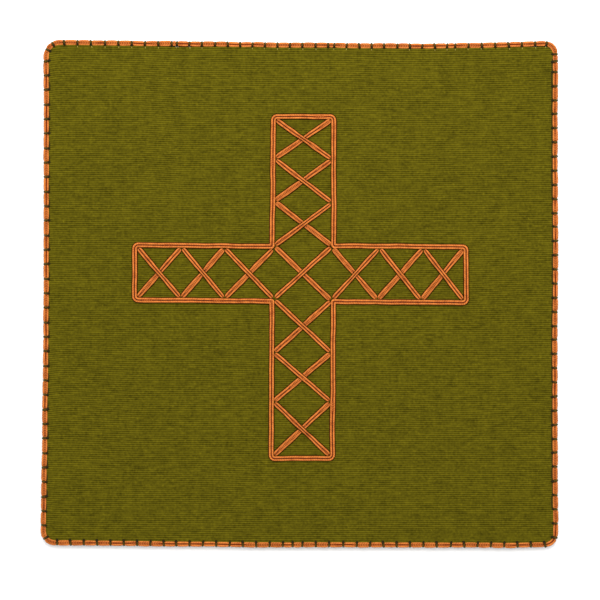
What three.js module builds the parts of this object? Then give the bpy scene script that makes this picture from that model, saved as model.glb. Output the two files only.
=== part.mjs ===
// Corporal burse: a stiff, square, cloth-covered pocket case with a braided cross on its face.
// Millimetres, +Z up. The case lies on its back with the face on top, and the foot of the cross
// points to -Y, where the pocket is open. The origin is under the middle of the outline, on the
// surface that the back board lies on.

import * as THREE from "three";

// Case: the outline of the face, braid included, and the layers from the surface up
const FACE_WIDTH = 233.1;
const FACE_HEIGHT = 228.6;
const BOARD_THICKNESS = 2.2;
const BOARD_EDGE_ROUND = 0.6;
const POCKET_HEIGHT = 4.6;
const SEAM_GAP = 0.3;

// Braid: two round ridges side by side with a groove between them
const BRAID_WIDTH = 2.35;
const BRAID_HEIGHT = 0.95;
const BRAID_PRESSED_HEIGHT = 0.75;
const EDGE_BRAID_HEIGHT = 1.15;
const EDGE_BRAID_RISE = 0.15;
const EDGE_BRAID_DROOP = 0.2;

// Gusset: a cloth strip between the boards on three sides, folded softly into the pocket
const GUSSET_INSET = 3.4;
const GUSSET_THICKNESS = 1.2;
const GUSSET_FOLD_DEPTH = 2.0;

// Lattice: where the tips of its bars lie, inside the centre line of the cross outline
const TIP_INSET = 1.9;
const TIP_HALF_SPACING = 0.9;

// Roundness of the corners
const CROSS_CORNER_RADIUS = 1.65;
const SMALLEST_RADIUS = 0.4;
const CORNER_STEPS = 5;
const SIDE_STEPS = 12;
const BOARD_EDGE_STEPS = 2;

// Finishes
const CLOTH = { color: 0x665c0e, roughness: 0.9, metalness: 0 };
const BRAID = { color: 0xd67937, roughness: 0.7, metalness: 0 };

// Heights worked out from the layers
const FRONT_BOTTOM = BOARD_THICKNESS + POCKET_HEIGHT;
const FACE_LEVEL = FRONT_BOTTOM + BOARD_THICKNESS;
const BRAID_SEAT = FACE_LEVEL + SEAM_GAP;
const EDGE_BRAID_SEAT = FACE_LEVEL + EDGE_BRAID_RISE - EDGE_BRAID_HEIGHT;
const BOARD_INSET = BRAID_WIDTH + SEAM_GAP;

// How far each side of the case bows out (+) or in (-), at a share of the way along it
const RIGHT_BOW = [
  { at: 0.0, out: 0.0 },
  { at: 0.25, out: -0.2 },
  { at: 0.42, out: -0.27 },
  { at: 0.57, out: 0.17 },
  { at: 0.73, out: -0.1 },
  { at: 1.0, out: 0.0 },
];
const TOP_BOW = [
  { at: 0.0, out: 0.0 },
  { at: 0.09, out: -0.75 },
  { at: 0.24, out: -1.33 },
  { at: 0.5, out: -1.0 },
  { at: 0.75, out: -0.5 },
  { at: 1.0, out: 0.0 },
];
const LEFT_BOW = [
  { at: 0.0, out: 0.0 },
  { at: 0.2, out: -0.27 },
  { at: 0.4, out: -0.54 },
  { at: 0.6, out: -0.63 },
  { at: 0.8, out: -0.35 },
  { at: 1.0, out: 0.0 },
];
const BOTTOM_BOW = [
  { at: 0.0, out: 0.0 },
  { at: 0.27, out: 0.34 },
  { at: 0.42, out: 0.55 },
  { at: 0.58, out: 0.34 },
  { at: 0.89, out: 0.22 },
  { at: 1.0, out: 0.0 },
];

// Corners of the case, anticlockwise from above, each with the side that starts there. x and y
// say which corner of the plain rectangle it is, and the shifts how far it lies from it.
const CASE_CORNERS = [
  { x: 0.5, y: -0.5, shiftX: -0.1, shiftY: 0.06, radius: 6.1, bow: RIGHT_BOW },
  { x: 0.5, y: 0.5, shiftX: -0.22, shiftY: -0.35, radius: 5.8, bow: TOP_BOW },
  { x: -0.5, y: 0.5, shiftX: 1.35, shiftY: 0.1, radius: 7.0, bow: LEFT_BOW },
  { x: -0.5, y: -0.5, shiftX: -0.1, shiftY: 1.14, radius: 6.3, bow: BOTTOM_BOW },
].map(({ x, y, shiftX, shiftY, radius, bow }) => ({
  point: new THREE.Vector2(x * FACE_WIDTH + shiftX, y * FACE_HEIGHT + shiftY),
  radius,
  bow,
}));

// Centre line of the braid that outlines the cross, anticlockwise from above
const CROSS_CORNERS = [
  { name: "upper right", x: 15.3, y: 79.75, radius: CROSS_CORNER_RADIUS },
  { name: "upper left", x: -11.8, y: 79.85, radius: CROSS_CORNER_RADIUS },
  { name: "inner upper left", x: -12.35, y: 21.4, radius: 0 },
  { name: "left upper", x: -74.15, y: 22.05, radius: CROSS_CORNER_RADIUS },
  { name: "left lower", x: -74.35, y: -2.7, radius: CROSS_CORNER_RADIUS },
  { name: "inner lower left", x: -12.45, y: -3.2, radius: 0 },
  { name: "lower left", x: -12.8, y: -74.1, radius: CROSS_CORNER_RADIUS },
  { name: "lower right", x: 14.7, y: -73.9, radius: CROSS_CORNER_RADIUS },
  { name: "inner lower right", x: 15.2, y: -3.45, radius: 0 },
  { name: "right lower", x: 75.0, y: -3.9, radius: CROSS_CORNER_RADIUS },
  { name: "right upper", x: 74.95, y: 21.15, radius: CROSS_CORNER_RADIUS },
  { name: "inner upper right", x: 15.4, y: 21.7, radius: 0 },
].map(({ name, x, y, radius }) => ({ name, radius, bow: [], point: new THREE.Vector2(x, y) }));

// Lattice cells of each arm. Two rails are the cross outline's lines beside the arm, and the
// stations are the places along them where the bars of one cell meet those of the next, with
// half the difference between the two rails as the lean. The last list names the bar that
// lies on top in each cell: falling runs from upper left to lower right.
const ARMS = [
  {
    name: "upper",
    runs: "down",
    rails: [["upper left", "inner upper left"], ["upper right", "inner upper right"]],
    stations: [
      { at: 78.7, lean: 0 },
      { at: 60.6, lean: 0.15 },
      { at: 41.3, lean: 0.35 },
      { at: 21.5, lean: 0 },
    ],
    onTop: ["falling", "falling", "rising"],
  },
  {
    name: "centre",
    runs: "down",
    rails: [
      ["inner upper left", "inner lower left"],
      ["inner upper right", "inner lower right"],
    ],
    stations: [{ at: 21.4, lean: 0 }, { at: -2.65, lean: 0.45 }],
    onTop: ["rising"],
  },
  {
    name: "lower",
    runs: "down",
    rails: [["inner lower left", "lower left"], ["inner lower right", "lower right"]],
    stations: [
      { at: -2.75, lean: 0.25 },
      { at: -26.4, lean: 0 },
      { at: -48.6, lean: 0 },
      { at: -72.95, lean: 0 },
    ],
    onTop: ["falling", "falling", "falling"],
  },
  {
    name: "left",
    runs: "across",
    rails: [["left upper", "inner upper left"], ["left lower", "inner lower left"]],
    stations: [
      { at: -73.2, lean: 0 },
      { at: -53.3, lean: 0.15 },
      { at: -33.8, lean: 0 },
      { at: -11.75, lean: 0 },
    ],
    onTop: ["falling", "falling", "falling"],
  },
  {
    name: "right",
    runs: "across",
    rails: [["inner upper right", "right upper"], ["inner lower right", "right lower"]],
    stations: [
      { at: 14.6, lean: 0 },
      { at: 35.4, lean: 0.4 },
      { at: 55.1, lean: 0.45 },
      { at: 73.9, lean: 0 },
    ],
    onTop: ["rising", "falling", "falling"],
  },
];

// Half of the braid's section, from the middle of its underside round to the groove. Across is
// a share of half the width and up a share of the height.
const BRAID_HALF_SECTION = [
  { across: 0.8, up: 0.0 },
  { across: 1.0, up: 0.42 },
  { across: 0.8, up: 0.88 },
  { across: 0.42, up: 1.0 },
];
const BRAID_GROOVE = { across: 0.0, up: 0.58 };
const BRAID_SECTION = [
  ...BRAID_HALF_SECTION,
  BRAID_GROOVE,
  ...BRAID_HALF_SECTION.map(({ across, up }) => ({ across: -across, up })).reverse(),
];

// Tapered tip of a lattice bar: shares of the braid's size at a distance in from the end
const BAR_TIP = [
  { distance: 0.0, width: 0.5, height: 0.6 },
  { distance: 0.4, width: 0.8, height: 0.85 },
  { distance: 1.1, width: 1.0, height: 1.0 },
];

// Crossing of two bars: how far the upper one is raised and both are pressed flat, as shares,
// at a distance from the middle of the crossing
const CROSSING = [
  { distance: -5.4, raised: 0.0, pressed: 0.0 },
  { distance: -3.8, raised: 0.5, pressed: 0.0 },
  { distance: -2.2, raised: 1.0, pressed: 1.0 },
  { distance: 2.2, raised: 1.0, pressed: 1.0 },
  { distance: 3.8, raised: 0.5, pressed: 0.0 },
  { distance: 5.4, raised: 0.0, pressed: 0.0 },
];

// One side of the gusset's section, from its upper edge to its lower one: up is a share of the
// height between the boards and fold a share of the fold's depth
const GUSSET_FACE = [
  { up: 1.0, fold: 0.0 },
  { up: 0.78, fold: 0.45 },
  { up: 0.5, fold: 1.0 },
  { up: 0.22, fold: 0.45 },
  { up: 0.0, fold: 0.0 },
];

// Value of a bow table at a share of the way, rounded off between its rows
function bowAt(rows, share) {
  const next = rows.findIndex((row) => row.at >= share);
  const before = rows[Math.max(next - 1, 0)];
  const after = rows[next];
  const blend = THREE.MathUtils.smoothstep(share, before.at, after.at);
  return THREE.MathUtils.lerp(before.out, after.out, blend);
}

// Inward normal of the side from one corner to the next, on an anticlockwise outline
function inwardNormal(corners, index) {
  const from = corners[index].point;
  const to = corners[(index + 1) % corners.length].point;
  const along = to.clone().sub(from).normalize();
  return new THREE.Vector2(-along.y, along.x);
}

// Points round a corner of an outline that is moved in by inset
function cornerPoints(corners, index, inset) {
  const { point, radius } = corners[index];
  const before = inwardNormal(corners, (index + corners.length - 1) % corners.length);
  const after = inwardNormal(corners, index);
  const diagonal = before.clone().add(after).divideScalar(1 + before.dot(after));
  if (radius === 0) {
    return [diagonal.multiplyScalar(inset).add(point)];
  }
  const arcRadius = Math.max(radius - inset, SMALLEST_RADIUS);
  const centre = diagonal.multiplyScalar(inset + arcRadius).add(point);
  const turn = Math.atan2(before.cross(after), before.dot(after));
  return Array.from({ length: CORNER_STEPS + 1 }, (_, step) => {
    const outward = before.clone().negate();
    outward.rotateAround(new THREE.Vector2(), (turn * step) / CORNER_STEPS);
    return outward.multiplyScalar(arcRadius).add(centre);
  });
}

// Points along the bowed side that starts at a corner, without the corners' own points
function sidePoints(corners, index, start, end) {
  const { bow } = corners[index];
  if (bow.length === 0) {
    return [];
  }
  const inward = inwardNormal(corners, index);
  return Array.from({ length: SIDE_STEPS - 1 }, (_, step) => {
    const share = (step + 1) / SIDE_STEPS;
    const point = start.clone().lerp(end, share);
    return point.addScaledVector(inward, -bowAt(bow, share));
  });
}

// Whole outline, moved in by inset. Every inset gives the same number of points.
function outline(corners, inset) {
  const rounded = corners.map((_, index) => cornerPoints(corners, index, inset));
  return rounded.flatMap((points, index) => {
    const next = rounded[(index + 1) % rounded.length];
    return [...points, ...sidePoints(corners, index, points.at(-1), next[0])];
  });
}

// Closed surface through loops of equal size. A ring joins its last loop to its first, and an
// open stretch is capped at both ends with the section's own triangles.
function loft(loops, section, isRing) {
  const size = section.length;
  const indices = [];
  const spans = isRing ? loops.length : loops.length - 1;
  for (let span = 0; span < spans; span += 1) {
    const here = span * size;
    const there = ((span + 1) % loops.length) * size;
    for (let corner = 0; corner < size; corner += 1) {
      const next = (corner + 1) % size;
      indices.push(here + corner, here + next, there + next);
      indices.push(here + corner, there + next, there + corner);
    }
  }
  if (!isRing) {
    const last = (loops.length - 1) * size;
    THREE.ShapeUtils.triangulateShape(section, []).forEach(([a, b, c]) => {
      indices.push(a, c, b);
      indices.push(last + a, last + b, last + c);
    });
  }
  const geometry = new THREE.BufferGeometry();
  geometry.setFromPoints(loops.flat());
  geometry.setIndex(indices);
  geometry.computeVertexNormals();
  return geometry;
}

// Loops of a band that follows an outline: one for each of its points
function bandLoops(corners, section) {
  const edges = section.map(({ inset }) => outline(corners, inset));
  return edges[0].map((_, place) =>
    section.map(({ level }, row) => {
      const { x, y } = edges[row][place];
      return new THREE.Vector3(x, y, level);
    }),
  );
}

// Flat drawing of a section, for its end caps
function flatSection(section) {
  return section.map(({ inset, level }) => new THREE.Vector2(inset, level));
}

// A board covered with cloth, rounded where the cloth turns over its edge
function boardGeometry() {
  const shape = new THREE.Shape(outline(CASE_CORNERS, BOARD_INSET + BOARD_EDGE_ROUND));
  return new THREE.ExtrudeGeometry(shape, {
    depth: BOARD_THICKNESS - 2 * BOARD_EDGE_ROUND,
    bevelSize: BOARD_EDGE_ROUND,
    bevelThickness: BOARD_EDGE_ROUND,
    bevelSegments: BOARD_EDGE_STEPS,
  });
}

// Gusset round the left, top and right sides, open at the foot
function gussetGeometry() {
  const lowest = BOARD_THICKNESS + SEAM_GAP;
  const height = POCKET_HEIGHT - 2 * SEAM_GAP;
  const outer = GUSSET_FACE.map(({ up, fold }) => ({
    inset: GUSSET_INSET + fold * GUSSET_FOLD_DEPTH,
    level: lowest + up * height,
  }));
  const inner = outer.map(({ inset, level }) => ({ inset: inset + GUSSET_THICKNESS, level }));
  const section = [...outer, ...inner.reverse()];
  const stretch = 3 * (CORNER_STEPS + SIDE_STEPS) - CORNER_STEPS;
  const loops = bandLoops(CASE_CORNERS, section);
  return loft(loops.slice(CORNER_STEPS, CORNER_STEPS + stretch + 1), flatSection(section), false);
}

// Braid along the rim of the front board, its outer ridge a little lower than its inner one
function edgeBraidGeometry() {
  const section = BRAID_SECTION.map(({ across, up }) => {
    const outward = (1 - across) / 2;
    return {
      inset: (1 - outward) * BRAID_WIDTH,
      level: EDGE_BRAID_SEAT + up * (EDGE_BRAID_HEIGHT - outward * EDGE_BRAID_DROOP),
    };
  });
  return loft(bandLoops(CASE_CORNERS, section), section, true);
}

// Braid that outlines the cross
function crossBraidGeometry() {
  const section = BRAID_SECTION.map(({ across, up }) => ({
    inset: (across * BRAID_WIDTH) / 2,
    level: BRAID_SEAT + up * BRAID_HEIGHT,
  }));
  return loft(bandLoops(CROSS_CORNERS, section), section, true);
}

// Place on a rail of the cross at a station, measured down the sheet or across it
function railPoint([fromName, toName], coordinate, at) {
  const from = CROSS_CORNERS.find(({ name }) => name === fromName).point;
  const to = CROSS_CORNERS.find(({ name }) => name === toName).point;
  const share = (at - from[coordinate]) / (to[coordinate] - from[coordinate]);
  return from.clone().lerp(to, share);
}

// Ends of a cell's two bars
function cellBars({ runs, rails, stations }, cell) {
  const [first, second] = [stations[cell], stations[cell + 1]];
  if (runs === "down") {
    const tip = (rail, { at, lean }, side, step) => {
      const point = railPoint(rails[rail], "y", at + side * lean);
      return point.add(new THREE.Vector2(side * TIP_INSET, step * TIP_HALF_SPACING));
    };
    return {
      falling: [tip(0, first, 1, -1), tip(1, second, -1, 1)],
      rising: [tip(0, second, 1, 1), tip(1, first, -1, -1)],
    };
  }
  const tip = (rail, { at, lean }, side, step) => {
    const point = railPoint(rails[rail], "x", at + side * lean);
    return point.add(new THREE.Vector2(step * TIP_HALF_SPACING, -side * TIP_INSET));
  };
  return {
    falling: [tip(0, first, 1, 1), tip(1, second, -1, -1)],
    rising: [tip(1, first, -1, 1), tip(0, second, 1, -1)],
  };
}

// Share of the way along the first line at which it meets the second
function meetingShare([from, to], [otherFrom, otherTo]) {
  const along = to.clone().sub(from);
  const other = otherTo.clone().sub(otherFrom);
  return otherFrom.clone().sub(from).cross(other) / along.cross(other);
}

// Sections of a lattice bar from tip to tip: distance along it, width, underside and height
function barStations(length, crossingAt, isOnTop) {
  const tip = BAR_TIP.map(({ distance, width, height }) => ({
    distance,
    width: width * BRAID_WIDTH,
    seat: BRAID_SEAT,
    height: height * BRAID_HEIGHT,
  }));
  const farTip = tip.map((row) => ({ ...row, distance: length - row.distance })).reverse();
  const crossing = CROSSING.map(({ distance, raised, pressed }) => ({
    distance: crossingAt + distance,
    width: BRAID_WIDTH,
    seat: BRAID_SEAT + (isOnTop ? raised * (BRAID_PRESSED_HEIGHT + SEAM_GAP) : 0),
    height: THREE.MathUtils.lerp(BRAID_HEIGHT, BRAID_PRESSED_HEIGHT, pressed),
  }));
  return [...tip, ...crossing, ...farTip];
}

// One bar of the lattice, laid straight between its tips
function barGeometry([from, to], crossingShare, isOnTop) {
  const length = from.distanceTo(to);
  const along = to.clone().sub(from).normalize();
  const sideways = new THREE.Vector2(-along.y, along.x);
  const loops = barStations(length, crossingShare * length, isOnTop).map((station) =>
    BRAID_SECTION.map(({ across, up }) => {
      const point = from.clone().addScaledVector(along, station.distance);
      point.addScaledVector(sideways, (across * station.width) / 2);
      return new THREE.Vector3(point.x, point.y, station.seat + up * station.height);
    }),
  );
  const section = BRAID_SECTION.map(({ across, up }) => new THREE.Vector2(across, up));
  return loft(loops, section, false);
}

// A named piece in its own copy of a finish
function piece(name, geometry, finish) {
  const mesh = new THREE.Mesh(geometry, new THREE.MeshStandardMaterial(finish));
  mesh.name = name;
  return mesh;
}

// Back board, pocket gusset and front board
function makeCase() {
  const group = new THREE.Group();
  const backPanel = piece("back_panel", boardGeometry(), CLOTH);
  backPanel.position.z = BOARD_EDGE_ROUND;
  const frontPanel = piece("front_panel", boardGeometry(), CLOTH);
  frontPanel.position.z = FRONT_BOTTOM + BOARD_EDGE_ROUND;
  group.add(backPanel, piece("pocket_gusset", gussetGeometry(), CLOTH), frontPanel);
  return group;
}

// Bars of the trellis that fills the cross
function makeLattice() {
  const group = new THREE.Group();
  ARMS.forEach((arm) => {
    arm.onTop.forEach((topBar, cell) => {
      const { falling, rising } = cellBars(arm, cell);
      const cellName = `bar_${arm.name}_${cell + 1}`;
      const fallingMeets = meetingShare(falling, rising);
      const risingMeets = meetingShare(rising, falling);
      const fallingShape = barGeometry(falling, fallingMeets, topBar === "falling");
      const risingShape = barGeometry(rising, risingMeets, topBar === "rising");
      group.add(piece(`${cellName}_falling`, fallingShape, BRAID));
      group.add(piece(`${cellName}_rising`, risingShape, BRAID));
    });
  });
  return group;
}

const burse = new THREE.Group();
burse.add(
  makeCase(),
  piece("edge_braid", edgeBraidGeometry(), BRAID),
  piece("cross_outline", crossBraidGeometry(), BRAID),
  makeLattice(),
);

export default burse;
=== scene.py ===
"""Corporal burse: the finish of a stiff, ribbed, braid-trimmed pocket case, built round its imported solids."""

import math

import bmesh
import bpy
import numpy as np
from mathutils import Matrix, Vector


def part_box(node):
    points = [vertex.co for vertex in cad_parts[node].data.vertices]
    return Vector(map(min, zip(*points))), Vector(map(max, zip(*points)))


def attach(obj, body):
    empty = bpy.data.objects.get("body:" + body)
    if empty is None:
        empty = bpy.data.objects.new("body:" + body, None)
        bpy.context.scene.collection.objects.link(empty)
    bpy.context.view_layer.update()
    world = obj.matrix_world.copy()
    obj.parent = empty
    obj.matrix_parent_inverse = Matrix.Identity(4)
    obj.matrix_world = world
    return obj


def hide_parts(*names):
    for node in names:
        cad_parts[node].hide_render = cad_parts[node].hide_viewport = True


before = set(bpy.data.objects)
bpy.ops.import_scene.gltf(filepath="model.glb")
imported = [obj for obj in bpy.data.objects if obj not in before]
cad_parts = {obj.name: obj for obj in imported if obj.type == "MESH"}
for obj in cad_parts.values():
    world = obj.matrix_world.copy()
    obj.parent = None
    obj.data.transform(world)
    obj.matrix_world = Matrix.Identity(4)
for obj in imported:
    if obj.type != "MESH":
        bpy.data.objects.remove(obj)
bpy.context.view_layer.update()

bl_info = {
    "name": "Corporal Burse",
    "version": (1, 0, 0),
    "blender": (4, 5, 0),
    "location": "3D View > Sidebar > Burse",
    "description": "Covers, braid and stitches of a corporal burse with a latticed cross",
    "category": "Object",
}

MM = 0.001
BODY = "root"

# What the solids give
FRONT_LOW, FRONT_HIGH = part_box("front_panel")
BACK_LOW, BACK_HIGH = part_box("back_panel")
EDGE_LOW, EDGE_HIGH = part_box("edge_braid")
CROSS_LOW, CROSS_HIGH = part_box("cross_outline")
LATTICE_NODES = sorted(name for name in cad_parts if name.startswith("bar_"))

# How the solids' lines are read, and how deep the pieces press into each other
GROOVE_SHARE = 0.58
MERGE_DISTANCE = 0.002 * MM
LEVEL_TOLERANCE = 0.02 * MM
BED = 0.05 * MM
BRAID_SEAT = FRONT_HIGH.z - BED

# Covers: their corners, their grid and their turned rim
CORNER_RADII = {
    "lower_left": 3.65 * MM, "lower_right": 3.45 * MM, "upper_right": 3.15 * MM, "upper_left": 4.35 * MM,
}
ROWS_PER_RIB = {"face_cover": 4, "back_cover": 3}
MIDDLE_COLUMNS = 74
RIM_STEPS = (0.0, 0.1, 0.25, 0.45, 0.75, 1.2, 2.0, 3.2)
SIDE_REACH = 0.968
BOARD_ROUND = 0.6 * MM
COVER_OUTSET = 0.5 * MM
TURNED_RIM = 6 * MM
SEAM_ALLOWANCE = 12 * MM

# Unevenness of the covers: how strong it is, and in how many patches up and across
RIB_FULLNESS = 0.72
RIB_LIMITS = (0.3, 1.4)
RIM_FADE = 1.2
SLUB_STRENGTH, SLUBS_ACROSS = 0.35, 30
FLAW_STRENGTH, FLAW_PATCHES = 0.07, (60, 40)
WAVE_DEPTH, WAVE_PATCHES = 0.035 * MM, (14, 14)
WEAVE_DRIFT, DRIFT_PATCHES = 0.45 * MM, (9, 10)
DRIFT_FROM_RIM = 6 * MM

# Patches of the textures in a metre
SLUBS = 200
MOTTLES = 75.0
STREAKS = (330.0, 45.0, 1.0)
SPECKS = 900.0
WEFT_THREADS = (2600.0, 300.0, 300.0)
WORN_PATCHES = 420.0
FLOOR_TEETH = 400.0
SLACK_PATCHES = 95.0
SWAYS = 60.0
NOISE_RANGE = (0.3, 0.7)
SLACK_REACH = 0.8

# Cloth: how light its ribs and valleys are, the valleys darkened as painted shade between the ribs, what each
# unevenness adds, and the painted shade of each piece, darker on the back and darker still on the gusset
# between the boards
CROWN_LIGHT, VALLEY_LIGHT = 0.6, 0.125
SLUB_LIGHT, MOTTLE_LIGHT, STREAK_LIGHT, SPECK_LIGHT = 0.18, 0.03, 0.045, 0.14
LINT = (0.69, 0.78, 0.0, 0.6)
ROW_SHIFT = 3.7
CLOTH_PAINTED_SHADES = {"face_cloth": 1.0, "back_cloth": 0.95, "gusset_cloth": 0.85}

# Braid: where its ridges begin, where the painted shadow on its outer slopes and foot begins and how dark it
# is, how light its threads are, and the ladder where it opens
RIDGE_FROM, RIDGE_TO, GAP_SPREAD = 0.07, 0.4, 0.2
PAINTED_FLANK_SPAN = (0.74, 0.98, 0.0, 0.95)
PAINTED_FLANK_DARKNESS = 0.2
THREAD_LIGHT, BETWEEN_LIGHT, WORN_LIGHT = 0.5, 0.52, 0.25
LADDER_LIGHT, LADDER_BETWEEN = 0.58, 0.14
OPEN_GROOVE = 0.6
STRANDS = 3

# Sewing thread: the shades of its plies, the lighter ones partly a painted highlight, and the painted shade
# where it comes out of the cloth
PLY_SHADES = (0.5, 2.2)
PAINTED_HOLE_SHADE = 0.3

# Fine relief, roughness and gloss of each surface
SURFACES = {
    "cloth": {"strength": 0.35, "depth": 0.05 * MM, "roughness": 0.85, "gloss": 0.03},
    "braid": {"strength": 0.3, "depth": 0.03 * MM, "roughness": 0.6, "gloss": 0.03},
    "thread": {"strength": 0.5, "depth": 0.05 * MM, "roughness": 0.7, "gloss": 0.1},
    "floor": {"strength": 0.02, "depth": 0.05 * MM, "roughness": 0.9, "gloss": 0.1},
}

# Braid of the rim: its width against the other braid's, and how far three of its sides are set in
RIM_SIDES = {"left": (0, -1), "right": (0, 1), "bottom": (1, -1), "top": (1, 1)}
RIM_FULLNESS = 1.07
RIM_SET_IN = {"left": 0.1 * MM, "right": 0.15 * MM, "bottom": 0.15 * MM}
RIM_SET_FROM = 0.94
RIM_SET_OVER = 0.045
RIM_NEAR = 105 * MM
PINCH = 0.3
PINCH_REACH = 0.8 * MM

# Braid of the cross: its corners, the ends of its bars and the places where they cross
PATH_STEP = 0.4 * MM
OUTLINE_STEP = 0.1 * MM
INNER_CORNER_RADIUS = 0.45 * MM
CORNER_FULLNESS = 0.12
CORNER_REACH = 1.0 * MM
SHARP_TURN = math.radians(40)
ARC_STEPS = 9
BAR_TIP_LENGTH = 1.9 * MM
BAR_TIP_REACH = 0.55 * MM
BAR_TIP_SHARE = 0.42
CROSSING_FLAT = 1.7 * MM
CROSSING_LENGTH = 5.2 * MM
CROSSING_PINCH = 0.1

# Section of the braid, in halves of its width and in its height
SECTION_POINTS = 16
HUMP_MIDDLE = 0.48
HUMP_REACH = 0.52
GROOVE_HEIGHT = 0.4
# Its foot reaches past the ridges as a dark sheet that carries the braid's painted shadow on the cloth
FOOT_EDGE = 0.9
FOOT_SHARE = 1.2
UNDERSIDE = 0.02
UPPER_FROM = -0.01
GROOVE_FILL = 0.32
GROOVE_SLOPE = 2.8
THREAD_SLANT = 0.9

# How each braid is swept: its step, its looseness, whether its outer side has the foot that carries the painted
# shadow, and its seed
SWEEPS = {
    "rim_braid": {"Step": 0.17 * MM, "Opening": 0.03, "Outer Shadow Foot": 0.0, "Seed": 1.0},
    "cross_braid": {"Step": 0.14 * MM, "Opening": 0.03, "Outer Shadow Foot": 1.0, "Seed": 4.0},
    "lattice_braid": {"Step": 0.14 * MM, "Opening": 0.07, "Outer Shadow Foot": 1.0, "Seed": 9.0},
}
SLACKNESS = {"rim": 0.45, "cross": -0.2, "upper_bar": -0.15, "lower_bar": 0.55}

# Lattice bars that lie on top where two cross
TOP_BARS = (
    "bar_upper_1_falling", "bar_upper_2_falling", "bar_upper_3_rising", "bar_centre_1_rising",
    "bar_lower_1_falling", "bar_lower_2_falling", "bar_lower_3_falling",
    "bar_left_1_falling", "bar_left_2_falling", "bar_left_3_falling",
    "bar_right_1_rising", "bar_right_2_falling", "bar_right_3_falling",
)

# Whip stitches along the rim: side, first and last in millimetres from the middle, and how many
WHIP_RUNS = (
    ("left", 110.0, 110.0, 1),
    ("left", 104.9, -104.2, 33),
    ("left", -109.9, -109.9, 1),
    ("right", 107.9, 104.7, 2),
    ("right", 100.0, -103.2, 33),
    ("right", -109.7, -109.7, 1),
    ("top", -111.0, -111.0, 1),
    ("top", -105.9, -57.6, 9),
    ("top", -55.1, 12.7, 13),
    ("top", 15.6, 66.4, 10),
    ("top", 70.0, 106.0, 7),
    ("top", 111.2, 111.2, 1),
    ("bottom", -109.1, -7.6, 18),
    ("bottom", -3.3, -3.3, 1),
    ("bottom", 1.3, 110.3, 19),
)

# Every thread: the points that bend it, its steps and sides, how its size varies, how deep it ends and how long
# the painted shade at its end is
BENDS = ("Start", "Start Handle", "End Handle", "End")
THREAD_STEPS, THREAD_SIDES = 12, 6
THREAD_SIZES = (0.9, 1.08)
THREAD_SUNK = 0.2 * MM
THREAD_DARK_END = 0.1 * MM

# Threads at the rim: the cloth's height over the braid's underside, and how far inside a ridge they come out
FACE_RISE = FRONT_HIGH.z - EDGE_LOW.z
RIDGE_SHARE = 0.37
WHIP_REACH = {"left": 0.75 * MM, "right": 0.75 * MM, "top": 0.32 * MM, "bottom": 0.7 * MM}
WHIP_ARCH = 1.3
WHIP_WRAP = 1.1
WHIP_TUCK = 0.5
WHIP_SWAY = math.radians(12)
WHIP_TWIST = 1600.0
# How long the painted shade is where the whip thread comes out of the cloth
WHIP_DARK_END = 1.3 * MM

# Thread carried along the crease, from and to a place by its stitch, going round the rim anticlockwise
CARRIED_THREADS = {"left": (-3.0 * MM, -0.2 * MM), "right": (0.2 * MM, 5.9 * MM)}
CARRIED_REACH = 103 * MM
CARRIED_CREASE = 0.55 * MM
CARRIED_BEND = 0.25
CARRIED_TUCK, CARRIED_LEAN = 0.1 * MM, 0.08 * MM
CARRIED_SINK, CARRIED_RISE = 0.25 * MM, 0.02 * MM
CARRIED_THICKNESS = 0.5 * MM
# Share of the whip colour that the carried thread keeps: painted shade of the crease
CARRIED_PAINTED_SHADE = 0.45
CARRIED_SWAY = math.radians(0.8)

# Threads of the cloth that the whip stitches pull up at the top
PULLED_SHARE = 0.7
PULLED_FROM, PULLED_TO = 0.5 * MM, 1.25 * MM
PULLED_LEAN = 0.2 * MM
PULLED_SINK, PULLED_RISE, PULLED_LOW = 0.1 * MM, 0.12 * MM, 0.05 * MM
PULLED_THICKNESS = 0.8
PULLED_SWAY = math.radians(14)
PULLED_TWIST = 900.0

# Stitches in the groove of the braid
GROOVE_FLOOR = 0.44
GROOVE_REACH = 0.3
GROOVE_LEAN = 0.6
GROOVE_ARCH = 0.15 * MM
GROOVE_SWAY = math.radians(4)
GROOVE_TWIST = 3000.0

# Gusset: its step along, its section and the height, rate and start of the ripples along it
GUSSET_STEP = 1.2 * MM
GUSSET_ROWS = 12
GUSSET_INSET = 0.75 * MM
GUSSET_DEPTH = 2.1 * MM
GUSSET_THICKNESS = 0.9 * MM
GUSSET_FOLD = 1.4
CORNER_TAKE_UP = 0.45
CORNER_SPREAD = 9
CORNER_LOOK = 3
CORNER_GAIN = 2
RIPPLES = ((0.12, 0.37, 0.0), (0.08, 0.091, 1.0))

# Stage
SURFACE_REACH = 3.0
SKY_STRENGTH = 0.72
LIGHTS = (
    {"name": "window_light", "place": (0.0, 0.22, 1.42), "size": 0.6, "power": 21.5},
    {"name": "head_light", "place": (0.0, 0.42, 0.42), "size": 0.35, "power": 2.6},
)
CAMERA_PLACE = (0.16 * MM, -2.71 * MM)


def linear(red, green, blue):
    """A screen colour in 0 to 255 as the linear colour that shaders take."""
    def channel(value):
        share = value / 255
        return share / 12.92 if share <= 0.04045 else ((share + 0.055) / 1.055) ** 2.4
    return channel(red), channel(green), channel(blue)


# Sizes and colours that a user would change


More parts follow.
